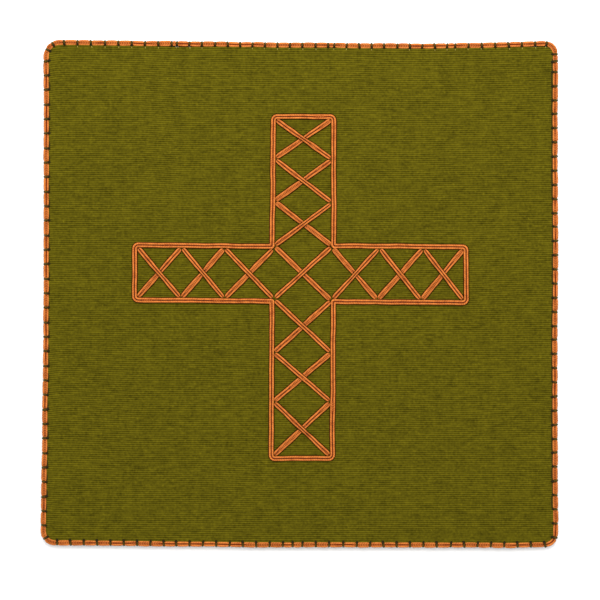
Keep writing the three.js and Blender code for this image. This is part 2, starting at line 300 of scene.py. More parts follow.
class ClothSettings(bpy.types.PropertyGroup):
    """The ribbed cloth of the covers and the gusset."""
    rib_pitch: bpy.props.FloatProperty(
        name="Rib Pitch", description="Distance from one rib to the next",
        default=0.954 * MM, min=0.4 * MM, unit="LENGTH", precision=5)
    rib_height: bpy.props.FloatProperty(
        name="Rib Height", description="Height of a rib over the valley beside it",
        default=0.11 * MM, min=0.0, unit="LENGTH", precision=5)
    rib_colour: bpy.props.FloatVectorProperty(
        name="Rib Colour", description="Colour along the top of the ribs",
        default=linear(88, 80, 9), subtype="COLOR", min=0.0, max=1.0)
    # The valley colour is darker as painted shade between the ribs
    valley_colour: bpy.props.FloatVectorProperty(
        name="Valley Colour", description="Colour between the ribs",
        default=linear(30, 27, 0), subtype="COLOR", min=0.0, max=1.0)
    slub_seed: bpy.props.IntProperty(
        name="Slub Seed", description="Seed for the unevenness of the ribs", default=11)


class BraidSettings(bpy.types.PropertyGroup):
    """The two-ridge braid of the rim, the cross and the lattice."""
    width: bpy.props.FloatProperty(
        name="Width", description="Width across both ridges",
        default=2.35 * MM, min=0.5 * MM, unit="LENGTH", precision=5)
    height: bpy.props.FloatProperty(
        name="Height", description="Height of the ridges",
        default=0.95 * MM, min=0.2 * MM, unit="LENGTH", precision=5)
    thread_pitch: bpy.props.FloatProperty(
        name="Thread Pitch", description="Distance from one thread to the next along the braid",
        default=0.77 * MM, min=0.1 * MM, unit="LENGTH", precision=5)
    thread_relief: bpy.props.FloatProperty(
        name="Thread Relief", description="How far the threads stand out",
        default=0.03 * MM, min=0.0, unit="LENGTH", precision=5)
    sway: bpy.props.FloatProperty(
        name="Sway", description="How far the braid strays from its line",
        default=0.5 * MM, min=0.0, unit="LENGTH", precision=5)
    ridge_colour: bpy.props.FloatVectorProperty(
        name="Ridge Colour", description="Colour of the threads on the ridges",
        default=linear(187, 108, 47), subtype="COLOR", min=0.0, max=1.0)
    groove_colour: bpy.props.FloatVectorProperty(
        name="Groove Colour", description="Colour down in the groove",
        default=linear(76, 12, 0), subtype="COLOR", min=0.0, max=1.0)


class StitchSettings(bpy.types.PropertyGroup):
    """The thread that holds the braid."""
    whip_thickness: bpy.props.FloatProperty(
        name="Whip Thread", description="Thickness of the thread of the whip stitches",
        default=1.05 * MM, min=0.1 * MM, unit="LENGTH", precision=5)
    groove_thickness: bpy.props.FloatProperty(
        name="Groove Thread", description="Thickness of the thread in the groove",
        default=0.48 * MM, min=0.05 * MM, unit="LENGTH", precision=5)
    groove_pitch: bpy.props.FloatProperty(
        name="Groove Stitch Pitch", description="Distance between stitches in the groove",
        default=2.05 * MM, min=0.5 * MM, unit="LENGTH", precision=5)
    whip_colour: bpy.props.FloatVectorProperty(
        name="Whip Colour", description="Colour of the whip thread",
        default=linear(56, 43, 4), subtype="COLOR", min=0.0, max=1.0)
    pulled_colour: bpy.props.FloatVectorProperty(
        name="Pulled Thread Colour", description="Colour of the cloth threads that the whip stitches pull up",
        default=linear(102, 90, 38), subtype="COLOR", min=0.0, max=1.0)
    groove_colour: bpy.props.FloatVectorProperty(
        name="Groove Thread Colour", description="Colour of the thread in the groove",
        default=linear(34, 6, 0), subtype="COLOR", min=0.0, max=1.0)
    seed: bpy.props.IntProperty(name="Seed", description="Seed for uneven stitches", default=5)


class StageSettings(bpy.types.PropertyGroup):
    """Floor, light and camera."""
    floor_colour: bpy.props.FloatVectorProperty(
        name="Floor Colour", description="Colour of the surface under the case",
        default=(0.93, 0.93, 0.93), subtype="COLOR", min=0.0, max=1.0)
    camera_height: bpy.props.FloatProperty(
        name="Camera Height", description="Height of the camera above the surface",
        default=1.6, min=0.3, unit="LENGTH")
    view_width: bpy.props.FloatProperty(
        name="View Width", description="Width of the view at the face of the case",
        default=0.27, min=0.05, unit="LENGTH")


# Helpers for node trees


def add(tree, kind, inputs=None, **settings):
    """A node of a kind with its settings, and its inputs: each a value or another node's output."""
    node = tree.nodes.new(kind)
    for name, value in settings.items():
        setattr(node, name, value)
    for key, value in (inputs or {}).items():
        if isinstance(value, bpy.types.NodeSocket):
            tree.links.new(value, node.inputs[key])
        else:
            node.inputs[key].default_value = value
    return node


def calc(tree, operation, *values):
    """Result of a Math node on one to three values."""
    return add(tree, "ShaderNodeMath", dict(enumerate(values)), operation=operation).outputs[0]


def product(tree, first, *others):
    """Result of multiplying some values."""
    for other in others:
        first = calc(tree, "MULTIPLY", first, other)
    return first


def scaled(tree, value, factor, offset):
    """Result of scaling a value and adding to it."""
    return calc(tree, "MULTIPLY_ADD", value, factor, offset)


def wave(tree, turns):
    """Sine that swings once in each turn."""
    return calc(tree, "SINE", product(tree, turns, math.tau))


def ramp(tree, value, start, end, low, high, shape="LINEAR"):
    """A value between start and end, spread from low to high and held there past its ends."""
    return add(tree, "ShaderNodeMapRange", {0: value, 1: start, 2: end, 3: low, 4: high},
               interpolation_type=shape).outputs[0]


def noise(tree, place, scale, detail=2.0, roughness=0.5):
    """A cloudy value at a place."""
    return add(tree, "ShaderNodeTexNoise", {
        "Vector": place, "Scale": scale, "Detail": detail, "Roughness": roughness}).outputs[0]


def uneven(tree, texture, reach):
    """A cloudy value spread evenly to both sides of nothing."""
    return ramp(tree, texture, *NOISE_RANGE, -reach, reach)


def stretched(tree, place, scale):
    """A place with its three directions scaled."""
    return add(tree, "ShaderNodeMapping", {0: place, "Scale": scale}).outputs[0]


def blend_colour(tree, factor, first, second):
    """Result of mixing two colours."""
    return add(tree, "ShaderNodeMix", {0: factor, 6: first, 7: second}, data_type="RGBA").outputs[2]


def attribute(tree, name):
    """A named value that the piece's mesh carries."""
    return add(tree, "ShaderNodeAttribute", attribute_name=name).outputs["Fac"]


def shaded(colour, share=1.0):
    """A share of a colour, with full alpha."""
    return (*[channel * share for channel in colour], 1.0)


def new_material(name):
    """An empty material with its tree and its shader."""
    material = bpy.data.materials.new(name)
    material.use_nodes = True
    tree = material.node_tree
    return material, tree, tree.nodes["Principled BSDF"]


def set_surface(tree, shader, relief, strength, depth, roughness, gloss):
    """Gives a shader its fine relief, and how rough and glossy it is."""
    bump = add(tree, "ShaderNodeBump", {"Strength": strength, "Distance": depth, "Height": relief})
    tree.links.new(bump.outputs[0], shader.inputs["Normal"])
    shader.inputs["Roughness"].default_value = roughness
    shader.inputs["Specular IOR Level"].default_value = gloss


# Materials


def cloth_material(settings, name):
    """Ribbed cloth: ribs lighter and valleys darker as painted shade between the ribs, slubbed weft, soft
    mottling, and each piece's painted shade.
    """
    material, tree, shader = new_material(name)
    place = add(tree, "ShaderNodeTexCoord").outputs["Object"]
    phase = attribute(tree, "rib")
    crown = calc(tree, "SINE", product(tree, calc(tree, "FRACT", phase), math.pi))
    sideways = add(tree, "ShaderNodeSeparateXYZ", {0: place}).outputs[0]
    row = product(tree, calc(tree, "FLOOR", phase), ROW_SHIFT)
    along_rib = add(tree, "ShaderNodeCombineXYZ", {
        0: product(tree, sideways, SLUBS), 1: row, 2: 0.0}).outputs[0]
    speck = noise(tree, place, SPECKS)
    changes = (
        uneven(tree, noise(tree, along_rib, 1.0, detail=3.0, roughness=0.6), SLUB_LIGHT),
        uneven(tree, noise(tree, place, MOTTLES, detail=4.0, roughness=0.6), MOTTLE_LIGHT),
        uneven(tree, noise(tree, stretched(tree, place, STREAKS), 1.0), STREAK_LIGHT),
        uneven(tree, speck, SPECK_LIGHT),
        ramp(tree, speck, *LINT),
    )
    # Painted shade: the valleys between the ribs are darker than the crowns
    level = scaled(tree, crown, CROWN_LIGHT, VALLEY_LIGHT)
    for change in changes:
        level = calc(tree, "ADD", level, change)
    # Painted shade of each piece: the back and the gusset are darker copies of the face's cloth
    colours = (shaded(colour, CLOTH_PAINTED_SHADES[name]) for colour in (settings.valley_colour, settings.rib_colour))
    tree.links.new(blend_colour(tree, level, *colours), shader.inputs["Base Color"])
    thread = noise(tree, stretched(tree, place, WEFT_THREADS), 1.0)
    set_surface(tree, shader, thread, **SURFACES["cloth"])
    return material


def braid_material(settings):
    """Two-ridge braid: orange threads wound over each ridge, red-brown in the groove, with painted shadow on
    the outer slopes of the ridges and on the foot.
    """
    material, tree, shader = new_material("orange_braid")
    place = add(tree, "ShaderNodeTexCoord").outputs["Object"]
    out = calc(tree, "ABSOLUTE", attribute(tree, "across"))
    wound = calc(tree, "DIVIDE", attribute(tree, "along"), settings.thread_pitch)
    wound = calc(tree, "ADD", wound, product(tree, out, THREAD_SLANT))
    threads = scaled(tree, wave(tree, wound), 0.5, 0.5)
    gap = ramp(tree, attribute(tree, "opening"), 0.0, OPEN_GROOVE, 0.0, 1.0)
    start, end = (scaled(tree, gap, GAP_SPREAD, place_out) for place_out in (RIDGE_FROM, RIDGE_TO))
    ridge = ramp(tree, out, start, end, 0.0, 1.0, "SMOOTHSTEP")
    # Painted shadow: the outer slopes of the ridges and the foot are darkened where the braid meets the cloth
    outer = ramp(tree, out, *PAINTED_FLANK_SPAN, "SMOOTHSTEP")
    outer = product(tree, outer, attribute(tree, "shadow_foot"))
    worn = uneven(tree, noise(tree, place, WORN_PATCHES, detail=3.0), WORN_LIGHT)
    light = calc(tree, "ADD", scaled(tree, threads, THREAD_LIGHT, BETWEEN_LIGHT), worn)
    ladder = product(tree, gap, scaled(tree, threads, LADDER_LIGHT, LADDER_BETWEEN))
    ridge = calc(tree, "MAXIMUM", ridge, ladder)
    level = product(tree, calc(tree, "MAXIMUM", light, 0.0), ridge)
    body = blend_colour(tree, level, shaded(settings.groove_colour), shaded(settings.ridge_colour))
    painted_shadow_colour = shaded(settings.groove_colour, PAINTED_FLANK_DARKNESS)
    tree.links.new(blend_colour(tree, outer, body, painted_shadow_colour), shader.inputs["Base Color"])
    strand = calc(tree, "SINE", product(tree, wound, math.tau * STRANDS))
    set_surface(tree, shader, strand, **SURFACES["braid"])
    return material


def thread_material(name, colour, twist, dark_end):
    """Plied sewing thread: slanted lighter and darker plies, the lighter ones partly a painted highlight, and
    painted shade where it comes out of the cloth.
    """
    material, tree, shader = new_material(name)
    along = attribute(tree, "along")
    turn = calc(tree, "ADD", product(tree, along, twist), attribute(tree, "around"))
    ply = scaled(tree, wave(tree, turn), 0.5, 0.5)
    # The lighter plies are partly a painted highlight
    body = blend_colour(tree, ply, *(shaded(colour, share) for share in PLY_SHADES))
    # Painted shade at the start of the thread, where it comes out of the cloth
    clear = ramp(tree, along, dark_end * 0.5, dark_end, 0.0, 1.0)
    body = blend_colour(tree, clear, shaded(colour, PAINTED_HOLE_SHADE), body)
    tree.links.new(body, shader.inputs["Base Color"])
    set_surface(tree, shader, ply, **SURFACES["thread"])
    return material


def floor_material(settings):
    """Plain pale surface with the faintest tooth."""
    material, tree, shader = new_material("pale_surface")
    place = add(tree, "ShaderNodeTexCoord").outputs["Object"]
    shader.inputs["Base Color"].default_value = shaded(settings.floor_colour)
    set_surface(tree, shader, noise(tree, place, FLOOR_TEETH), **SURFACES["floor"])
    return material


# Lines read from the solids


def level_loop(node, level):
    """Points of the closed line that a solid's mesh has at one height, anticlockwise from above."""
    mesh = bmesh.new()
    mesh.from_mesh(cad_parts[node].data)
    bmesh.ops.remove_doubles(mesh, verts=mesh.verts, dist=MERGE_DISTANCE)
    line = {vert for vert in mesh.verts if abs(vert.co.z - level) < LEVEL_TOLERANCE}
    start = min(line, key=lambda vert: (vert.co.x, vert.co.y))
    loop, before, here = [], None, start
    while here is not None:
        loop.append(here.co.copy())
        ways = [edge.other_vert(here) for edge in here.link_edges]
        ways = [vert for vert in ways if vert in line and vert not in (before, start)]
        before, here = here, (ways[0] if ways else None)
    mesh.free()
    area = sum(a.x * b.y - b.x * a.y for a, b in zip(loop, loop[1:] + loop[:1]))
    return loop if area > 0 else loop[::-1]


def bar_axis(node):
    """The two tips of a lattice bar's solid, in plan."""
    places = np.array([vert.co[:2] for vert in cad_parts[node].data.vertices])
    middle = (places.min(0) + places.max(0)) / 2
    offsets = places - middle
    direction = np.linalg.eigh(offsets.T @ offsets)[1][:, 1]
    reach = offsets @ direction
    ends = [places[np.abs(reach - end) < LEVEL_TOLERANCE] for end in (reach.min(), reach.max())]
    return [end.mean(0) for end in ends]


def turns(points):
    """Each point of a closed line, with the ways back and ahead and how far the line turns there."""
    for before, here, after in zip(points[-1:] + points[:-1], points, points[1:] + points[:1]):
        back, ahead = (before - here).normalized(), (after - here).normalized()
        yield here, back, ahead, math.pi - back.angle(ahead)


def sharp_points(points):
    """Points of a closed line at which it turns sharply."""
    return [here for here, _, _, turn in turns(points) if turn >= SHARP_TURN]


def soften(points, radius):
    """A closed line with its sharp turns made arcs."""
    softened = []
    for here, back, ahead, turn in turns(points):
        if turn < SHARP_TURN:
            softened.append(here)
            continue
        reach = radius * math.tan(turn / 2)
        centre = here + (back + ahead).normalized() * (radius / math.cos(turn / 2))
        first, last = here + back * reach - centre, here + ahead * reach - centre
        for share in np.linspace(0, 1, ARC_STEPS):
            softened.append(centre + first.slerp(last, float(share)).normalized() * radius)
    return softened


def even_steps(points, step):
    """Points a little apart along a closed line, each step the same."""
    places = np.array([tuple(point) for point in points])
    places = np.vstack([places, places[:1]])
    lengths = np.concatenate([[0], np.cumsum(np.linalg.norm(np.diff(places, axis=0), axis=1))])
    marks = np.linspace(0, lengths[-1], round(lengths[-1] / step), endpoint=False)
    return np.column_stack([np.interp(marks, lengths, places[:, axis]) for axis in range(3)])


def edge_path():
    """Middle of the braid round the rim, at its underside."""
    level = EDGE_LOW.z + GROOVE_SHARE * (EDGE_HIGH.z - EDGE_LOW.z)
    heights = np.array([vert.co.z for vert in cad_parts["edge_braid"].data.vertices])
    level = heights[np.argmin(np.abs(heights - level))]
    loop = level_loop("edge_braid", level)
    path = even_steps([(point.x, point.y, EDGE_LOW.z) for point in loop], PATH_STEP)
    for side, set_in in RIM_SET_IN.items():
        axis, sign = RIM_SIDES[side]
        share = path[:, axis] / (EDGE_HIGH if sign > 0 else EDGE_LOW)[axis]
        path[:, axis] -= sign * set_in * np.clip((share - RIM_SET_FROM) / RIM_SET_OVER, 0, 1)
    return path


def cross_loop():
    """Middle of the braid that outlines the cross, with its corners sharp."""
    level = CROSS_LOW.z + GROOVE_SHARE * (CROSS_HIGH.z - CROSS_LOW.z)
    return [Vector((point.x, point.y, BRAID_SEAT)) for point in level_loop("cross_outline", level)]


def whip_places(path):
    """Index on the rim's path of each whip stitch, side by side."""
    places = {side: [] for side in RIM_SIDES}
    for side, first, last, count in WHIP_RUNS:
        axis, sign = RIM_SIDES[side]
        near = sign * path[:, axis] > RIM_NEAR
        for mark in np.linspace(first, last, count):
            gap = np.abs(path[:, 1 - axis] - mark * MM) + np.where(near, 0, 1)
            places[side].append(int(np.argmin(gap)))
    return places


def headings(path, places):
    """Directions of a closed path at some of its points."""
    ahead = path[(np.array(places) + 2) % len(path)] - path[np.array(places) - 2]
    return np.arctan2(ahead[:, 1], ahead[:, 0])


# Pieces and their finish


def store(mesh, name, values):
    """A value for each vertex of a mesh."""
    mesh.attributes.new(name, "FLOAT", "POINT").data.foreach_set("value", np.asarray(values, np.float32))


def link(name, mesh):
    """An object in the scene, at the origin."""
    obj = bpy.data.objects.new(name, mesh)
    bpy.context.scene.collection.objects.link(obj)
    return obj


def finish_piece(obj, nodes=()):
    """Smooths a finished piece, hides the solids it stands for, and ties it to its body."""
    for polygon in obj.data.polygons:
        polygon.use_smooth = True
    if nodes:
        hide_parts(*nodes)
    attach(obj, BODY)


def grown(obj, tree, inputs):
    """Runs a Geometry Nodes tree on an object and keeps its result as a plain mesh."""
    modifier = obj.modifiers.new(tree.name, "NODES")
    modifier.node_group = tree
    sockets = {item.name: item.identifier for item in tree.interface.items_tree if item.in_out == "INPUT"}
    for name, value in inputs.items():
        modifier[sockets[name]] = value
    depsgraph = bpy.context.evaluated_depsgraph_get()
    result = obj.evaluated_get(depsgraph)
    mesh = bpy.data.meshes.new_from_object(result, preserve_all_data_layers=True, depsgraph=depsgraph)
    obj.modifiers.clear()
    obj.data = mesh
    return obj


def band(first, second):
    """Faces between two closed lines of vertices."""
    corners = [first, np.roll(first, -1, axis=-1), np.roll(second, -1, axis=-1), second]
    return np.stack(corners, axis=-1).reshape(-1, 4)


# Covers


def side_line(loop, axis, sign):
    """One side of a board's outline, carried on past its corners: places along it and its distance out."""
    low, high = FRONT_LOW[1 - axis], FRONT_HIGH[1 - axis]
    middle, half = (low + high) / 2, (high - low) / 2
    points = np.array([tuple(point) for point in loop])
    reach = (FRONT_LOW[axis] + FRONT_HIGH[axis]) / 2
    keep = (np.abs(points[:, 1 - axis] - middle) < SIDE_REACH * half) & (sign * (points[:, axis] - reach) > 0)
    side = points[keep][np.argsort(points[keep][:, 1 - axis])]
    along, out = side[:, 1 - axis], side[:, axis]
    before = out[0] + (low - along[0]) * (out[1] - out[0]) / (along[1] - along[0])
    after = out[-1] + (high - along[-1]) * (out[-1] - out[-2]) / (along[-1] - along[-2])
    return np.array([low, *along, high]), np.array([before, *out, after])


def uneven_field(rng, shape, patches):
    """A smooth random sheet between -1 and 1, as tall and wide as a grid."""
    coarse = rng.uniform(-1, 1, patches)
    across = np.array([np.interp(np.linspace(0, patches[1] - 1, shape[1]), range(patches[1]), row)
                       for row in coarse])
    return np.array([np.interp(np.linspace(0, patches[0] - 1, shape[0]), range(patches[0]), column)
                     for column in across.T]).T


def cover_plan(node, level, rows):
    """A cover's grid in plan, in rows along the ribs, and how far each of its places is from the rim."""
    loop = level_loop(node, level)
    left, right = side_line(loop, 0, -1), side_line(loop, 0, 1)
    bottom, top = side_line(loop, 1, -1), side_line(loop, 1, 1)
    low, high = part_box(node)
    rise = np.linspace(0, 1, rows)
    up_gap, down_gap = (1 - rise) * (high.y - low.y), rise * (high.y - low.y)

    def drawn_in(corner):
        radius = CORNER_RADII[corner]
        gap = up_gap if corner.startswith("upper") else down_gap
        return radius - np.sqrt(np.maximum(radius**2 - np.maximum(radius - gap, 0) ** 2, 0))

    left_x, right_x = (np.interp(low.y + down_gap, *side) for side in (left, right))
    starts = left_x + drawn_in("upper_left") + drawn_in("lower_left") - COVER_OUTSET
    ends = right_x - drawn_in("upper_right") - drawn_in("lower_right") + COVER_OUTSET
    rim = np.array(RIM_STEPS) * MM
    span = (ends - starts)[:, None]
    inner = rim[-1] + np.linspace(0, 1, MIDDLE_COLUMNS)[None, 1:-1] * (span - 2 * rim[-1])
    x = starts[:, None] + np.hstack([np.tile(rim, (rows, 1)), inner, span - rim[::-1][None, :]])
    y_low, y_high = np.interp(x, *bottom) - COVER_OUTSET, np.interp(x, *top) + COVER_OUTSET
    y = y_low + rise[:, None] * (y_high - y_low)

    gap_x = COVER_OUTSET + np.minimum(x - left_x[:, None], right_x[:, None] - x)
    gap_y = np.minimum(up_gap, down_gap)[:, None] + 0 * x
    radius = np.mean(list(CORNER_RADII.values()))
    at_corner = (gap_x < radius) & (gap_y < radius)
    round_inset = np.maximum(radius - np.hypot(radius - gap_x, radius - gap_y), 0)
    return x, y, np.where(at_corner, round_inset, np.minimum(gap_x, gap_y))


def cover_depth(inset, phase, rng, rib_height):
    """How far each place of a cover lies below the board's outer side: its turned rim, ribs and slubs."""
    edge = np.clip(inset / BOARD_ROUND, 0, 1)
    turned = BOARD_ROUND * (1 - np.sqrt(np.maximum(1 - (1 - edge) ** 2, 0)))
    turned[[0, -1], :] = BOARD_ROUND
    turned[:, [0, -1]] = BOARD_ROUND
    crown = np.sqrt(np.abs(np.sin(phase * math.pi)))[:, None]
    slubs = SLUB_STRENGTH * uneven_field(rng, inset.shape, (round(phase[-1]), SLUBS_ACROSS))
    strength = 1 + slubs + FLAW_STRENGTH * uneven_field(rng, inset.shape, FLAW_PATCHES)
    waves = WAVE_DEPTH * uneven_field(rng, inset.shape, WAVE_PATCHES)
    dip = rib_height * (1 - crown * np.clip(strength, *RIB_LIMITS) * RIB_FULLNESS) + np.abs(waves)
    return turned + dip * np.clip(edge * RIM_FADE, 0, 1)


def cover_mesh(name, node, side, settings):
    """Cloth stretched over a board: ribs raised on its outer side and turned over its rim."""
    low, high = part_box(node)
    ribs = round((high.y - low.y) / settings.rib_pitch)
    phase = np.linspace(0, ribs, ribs * ROWS_PER_RIB[name] + 1)
    x, y, inset = cover_plan(node, low.z + BOARD_ROUND, len(phase))
    rng = np.random.default_rng(settings.slub_seed)
    depth = cover_depth(inset, phase, rng, settings.rib_height)
    y += WEAVE_DRIFT * uneven_field(rng, inset.shape, DRIFT_PATCHES) * np.clip(inset / DRIFT_FROM_RIM, 0, 1)
    outer_z, inner_z = (high.z, low.z) if side > 0 else (low.z, high.z)
    verts = np.stack([x, y, outer_z - side * depth], axis=-1).reshape(-1, 3)

    index = np.arange(inset.size).reshape(inset.shape)
    quads = np.stack([index[:-1, :-1], index[:-1, 1:], index[1:, 1:], index[1:, :-1]], axis=-1).reshape(-1, 4)
    border = np.concatenate([index[0, :-1], index[:-1, -1], index[-1, :0:-1], index[:0:-1, 0]])
    low_plan, high_plan = np.array(low)[:2], np.array(high)[:2]
    wall = verts[border].copy()
    wall[:, 2] = inner_z + side * BOARD_ROUND
    turn = wall.copy()
    turn[:, 2] = inner_z
    offset = wall[:, :2] - (low_plan + high_plan) / 2
    outermost = np.abs(offset) > (high_plan - low_plan) / 2 - TURNED_RIM
    turn[:, :2] -= np.sign(offset) * np.where(outermost, BOARD_ROUND, 0)
    wall_index = inset.size + np.arange(len(border))
    turn_index = wall_index + len(border)
    faces = quads.tolist()
    for first, second in ((border, wall_index), (wall_index, turn_index)):
        faces += band(first, second)[:, ::-1].tolist()
    faces.append(turn_index[::-1].tolist())
    if side < 0:
        faces = [face[::-1] for face in faces]
    mesh = bpy.data.meshes.new(name)
    mesh.from_pydata(np.vstack([verts, wall, turn]).tolist(), [], faces)
    mesh.update()

    rim_phase = phase[border // inset.shape[1]]
    carried = np.where(rim_phase == 0, -1, np.where(rim_phase == ribs, 1, 0)) / settings.rib_pitch
    drop = high.z - low.z - 2 * BOARD_ROUND
    walls = [rim_phase + carried * drop, rim_phase + carried * (drop + BOARD_ROUND)]
    store(mesh, "rib", np.concatenate([np.repeat(phase, inset.shape[1]), *walls]))
    return mesh


def lay_cover(context, name, slot, node, side):
    """A finished cover over a board, and its flat size with an allowance to turn over on each side."""
    settings = context.scene.burse_cloth
    obj = link(name, cover_mesh(name, node, side, settings))
    obj.data.materials.append(cloth_material(settings, slot))
    finish_piece(obj, [node])
    low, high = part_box(node)
    return obj, (high.x - low.x + 2 * SEAM_ALLOWANCE, high.y - low.y + 2 * SEAM_ALLOWANCE)


class BURSE_OT_face_cover(bpy.types.Operator):
    """Ribbed cloth over the front board"""
    bl_idname = "burse.face_cover"
    bl_label = "Face Cover"

    def execute(self, context):
        obj, flat = lay_cover(context, "face_cover", "face_cloth", "front_panel", 1)
        return {"FINISHED"}


class BURSE_OT_back_cover(bpy.types.Operator):
    """Ribbed cloth over the back board"""
    bl_idname = "burse.back_cover"
    bl_label = "Back Cover"

    def execute(self, context):
        obj, flat = lay_cover(context, "back_cover", "back_cloth", "back_panel", -1)
        return {"FINISHED"}


# Braid


def new_tree(name, sockets):
    """A Geometry Nodes tree with named inputs and one output of geometry, and its inputs' sockets."""
    tree = bpy.data.node_groups.new(name, "GeometryNodeTree")
    for socket, kind in {"Geometry": "Geometry", **sockets}.items():
        tree.interface.new_socket(socket, in_out="INPUT", socket_type=f"NodeSocket{kind}")
    tree.interface.new_socket("Geometry", in_out="OUTPUT", socket_type="NodeSocketGeometry")
    return tree, add(tree, "NodeGroupInput").outputs


def end_tree(tree, geometry, material):
    """Closes a tree: plain geometry with its material."""
    plain = add(tree, "GeometryNodeRealizeInstances", {0: geometry}).outputs[0]
    plain = add(tree, "GeometryNodeSetMaterial", {"Geometry": plain, "Material": material}).outputs[0]
    add(tree, "NodeGroupOutput", {0: plain})
    return tree


def keep(tree, geometry, name, value, kind="FLOAT"):
    """Geometry that carries a named value on its points."""
    return add(tree, "GeometryNodeStoreNamedAttribute", {"Geometry": geometry, "Name": name, "Value": value},
               data_type=kind).outputs[0]


def read(tree, name, kind="FLOAT"):
    """A named value that the geometry carries."""
    return add(tree, "GeometryNodeInputNamedAttribute", {"Name": name}, data_type=kind).outputs[0]


def spline_place(tree, measure):
    """How far along its line a point is."""
    return add(tree, "GeometryNodeSplineParameter").outputs[measure]


def position(tree):
    """Where a point is."""
    return add(tree, "GeometryNodeInputPosition").outputs[0]


def either(tree, choice, first, second):
    """One of two values, or what lies between them."""
    return add(tree, "ShaderNodeMix", {0: choice, 2: first, 3: second}, data_type="FLOAT").outputs[0]


def vector(tree, operation, inputs):
    """Result of a Vector Math node."""
    return add(tree, "ShaderNodeVectorMath", inputs, operation=operation).outputs[0]


def braid_section(tree, given):
    """Section of the braid: two humps side by side on a flat underside, wider at its foot, which carries the
    painted shadow.
    """
    ring = add(tree, "GeometryNodeCurvePrimitiveCircle", {
        "Resolution": SECTION_POINTS, "Radius": 1.0}).outputs[0]
    corner = add(tree, "ShaderNodeSeparateXYZ", {0: position(tree)}).outputs
    out = calc(tree, "ABSOLUTE", corner[0])
    lobe = calc(tree, "DIVIDE", calc(tree, "SUBTRACT", out, HUMP_MIDDLE), HUMP_REACH)
    hump = calc(tree, "MAXIMUM", calc(tree, "SUBTRACT", 1.0, product(tree, lobe, lobe)), 0.0)
    hump = scaled(tree, calc(tree, "SQRT", hump), 1 - GROOVE_HEIGHT, GROOVE_HEIGHT)
    upper = calc(tree, "GREATER_THAN", corner[1], UPPER_FROM)
    # The wider foot carries the braid's painted shadow; the rim's outer side has none
    shadow_foot = calc(tree, "MAXIMUM", calc(tree, "LESS_THAN", corner[0], 0.0), given["Outer Shadow Foot"])
    foot = calc(tree, "MINIMUM", calc(tree, "DIVIDE", out, FOOT_EDGE), 1.0)
    foot = product(tree, foot, scaled(tree, shadow_foot, FOOT_SHARE - 1, 1.0))
    foot = product(tree, calc(tree, "SIGN", corner[0]), foot)
    rise = either(tree, upper, UNDERSIDE, hump)
    ring = keep(tree, ring, "across", either(tree, upper, foot, corner[0]))
    ring = keep(tree, ring, "upper", upper)
    ring = keep(tree, ring, "shadow_foot", shadow_foot)
    place = add(tree, "ShaderNodeCombineXYZ", {
        0: product(tree, read(tree, "across"), product(tree, given["Width"], 0.5)),
        1: product(tree, rise, product(tree, given["Height"], -1.0))}).outputs[0]
    return add(tree, "GeometryNodeSetPosition", {"Geometry": ring, "Position": place}).outputs[0]


def braid_shift(tree, given, slack):
    """How the swept braid leaves its plain form: spread or closed ridges, sway and the relief of threads."""
    out = calc(tree, "ABSOLUTE", read(tree, "across"))
    spread = product(tree, product(tree, slack, read(tree, "across")), product(
        tree, given["Width"], given["Opening"]))
    drift = calc(tree, "ADD", product(tree, read(tree, "along"), SWAYS), given["Seed"])
    drift = add(tree, "ShaderNodeTexNoise", {"W": drift, "Scale": 1.0}, noise_dimensions="1D").outputs[0]
    spread = calc(tree, "ADD", spread, product(tree, calc(tree, "SUBTRACT", drift, 0.5), given["Sway"]))
    sideways = vector(tree, "SCALE", {0: read(tree, "sideways", "FLOAT_VECTOR"), 3: spread})
    middle = calc(tree, "MAXIMUM", calc(tree, "SUBTRACT", 1.0, product(tree, out, GROOVE_SLOPE)), 0.0)
    fill = product(tree, product(tree, slack, middle), product(
        tree, read(tree, "upper"), product(tree, given["Height"], GROOVE_FILL)))
    wound = calc(tree, "DIVIDE", read(tree, "along"), given["Thread Pitch"])
    wound = calc(tree, "ADD", wound, product(tree, out, THREAD_SLANT))
    relief = product(tree, wave(tree, wound), product(tree, given["Thread Relief"], read(tree, "upper")))
    normal = add(tree, "GeometryNodeInputNormal").outputs[0]
    outward = vector(tree, "SCALE", {0: normal, 3: relief})
    upward = add(tree, "ShaderNodeCombineXYZ", {2: fill}).outputs[0]
    return vector(tree, "ADD", {0: vector(tree, "ADD", {0: sideways, 1: upward}), 1: outward})


def braid_tree(material):
    """A tree that sweeps the two-ridge braid along the edges of a mesh."""
    tree, given = new_tree("Braid Sweep", dict.fromkeys((
        "Width", "Height", "Step", "Thread Pitch", "Thread Relief", "Opening", "Sway", "Outer Shadow Foot", "Seed"),
        "Float"))
    curve = add(tree, "GeometryNodeMeshToCurve", {0: given["Geometry"]}).outputs[0]
    curve = add(tree, "GeometryNodeResampleCurve", {"Curve": curve, "Length": given["Step"]},
                mode="LENGTH").outputs[0]
    curve = add(tree, "GeometryNodeSetCurveNormal", {"Curve": curve}, mode="Z_UP").outputs[0]
    curve = keep(tree, curve, "along", spline_place(tree, "Length"))
    curve = keep(tree, curve, "sideways", add(tree, "GeometryNodeInputNormal").outputs[0], "FLOAT_VECTOR")
    swept = add(tree, "GeometryNodeCurveToMesh", {
        "Curve": curve, "Profile Curve": braid_section(tree, given), "Scale": read(tree, "size"),
        "Fill Caps": True}).outputs[0]
    slack = add(tree, "ShaderNodeTexNoise", {
        "W": given["Seed"], "Vector": position(tree), "Scale": SLACK_PATCHES, "Detail": 1.0},
        noise_dimensions="4D").outputs[0]
    slack = calc(tree, "ADD", uneven(tree, slack, SLACK_REACH), read(tree, "slack"))
    swept = keep(tree, swept, "opening", slack)
    swept = add(tree, "GeometryNodeSetPosition", {
        "Geometry": swept, "Offset": braid_shift(tree, given, slack)}).outputs[0]
    return end_tree(tree, swept, material)


